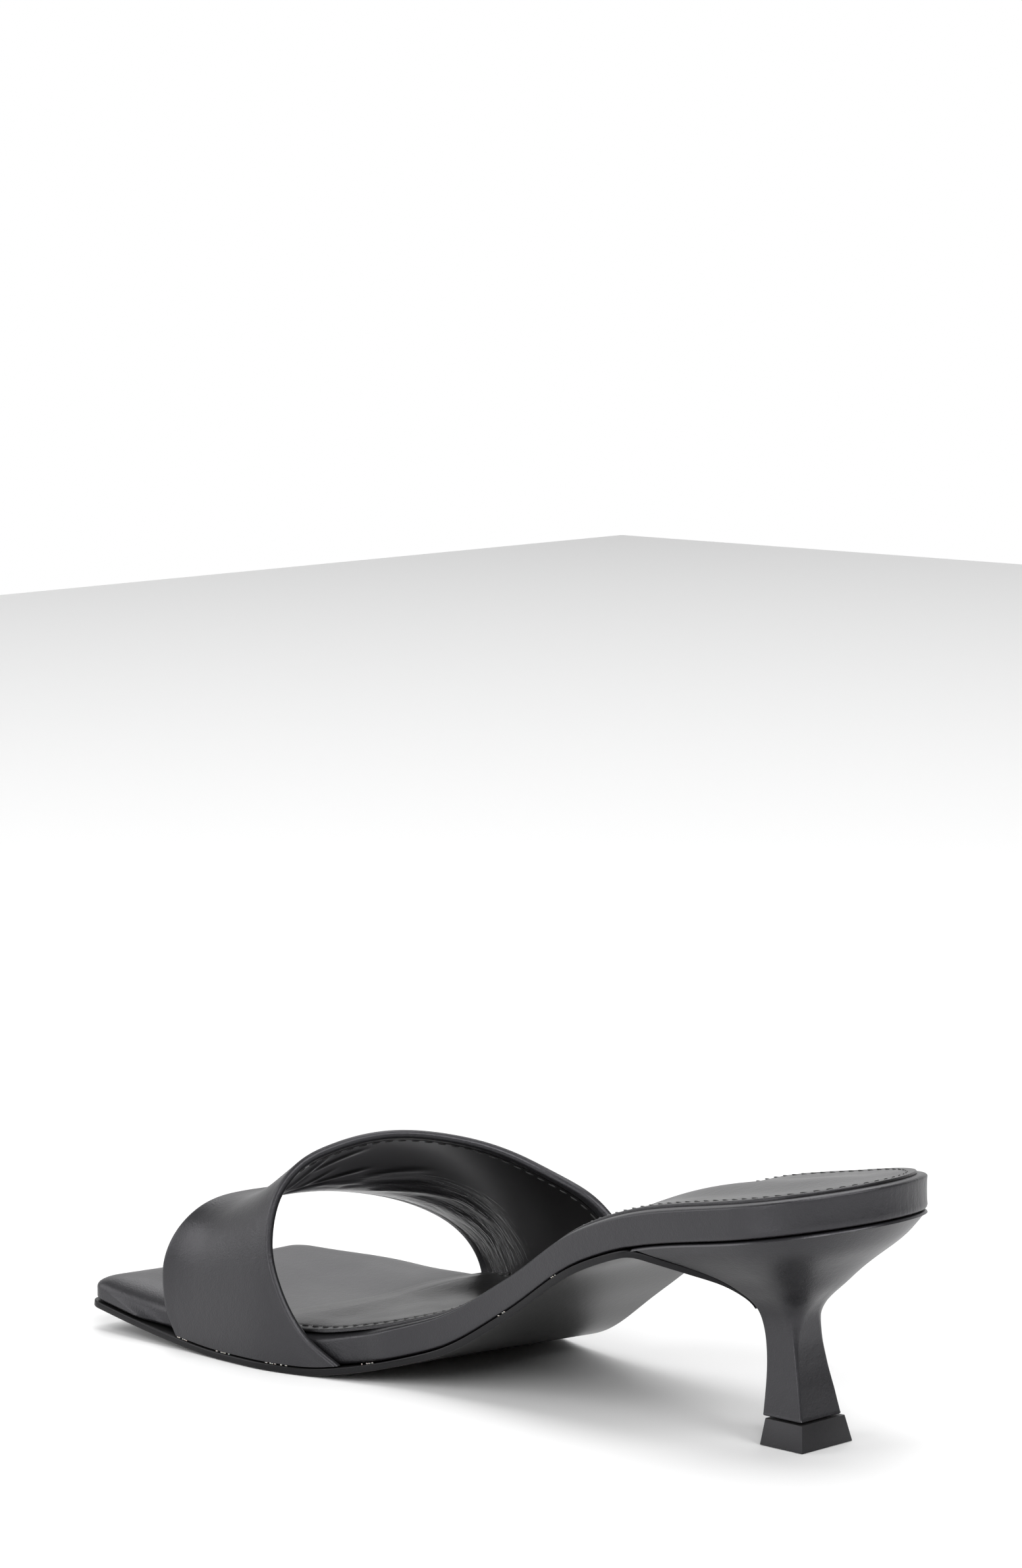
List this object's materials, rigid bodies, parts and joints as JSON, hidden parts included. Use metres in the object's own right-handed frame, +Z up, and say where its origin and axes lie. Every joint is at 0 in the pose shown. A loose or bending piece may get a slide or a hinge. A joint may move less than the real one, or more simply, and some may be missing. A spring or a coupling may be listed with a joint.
{
  "type": "slide sandal",
  "caption": "Heeled slide sandal for the right foot: square open toe, one wide strap, padded footbed, slim flared heel.",
  "frame": {"origin": "middle of the top lift's ground face, under the heel", "axes": "+X towards the toe, +Y towards the inner side of the right foot, +Z up"},
  "size_m": [0.2333, 0.0809, 0.0655],
  "materials": {
    "outsole": "smooth black sole leather, semi-gloss",
    "footbed": "smooth black leather wrapped over board and padding, satin",
    "sock": "soft black lining leather, stitched round its edge, matt",
    "upper": "smooth black leather, satin, with folded edges",
    "heel": "moulded heel covered in smooth black leather, satin",
    "top_lift": "hard black polyurethane, matt"
  },
  "bodies": {
    "root": {"outsole": "outsole", "footbed": "footbed", "sock": "sock", "upper": "upper", "heel": "heel", "top_lift": "top_lift"}
  },
  "joints": []
}
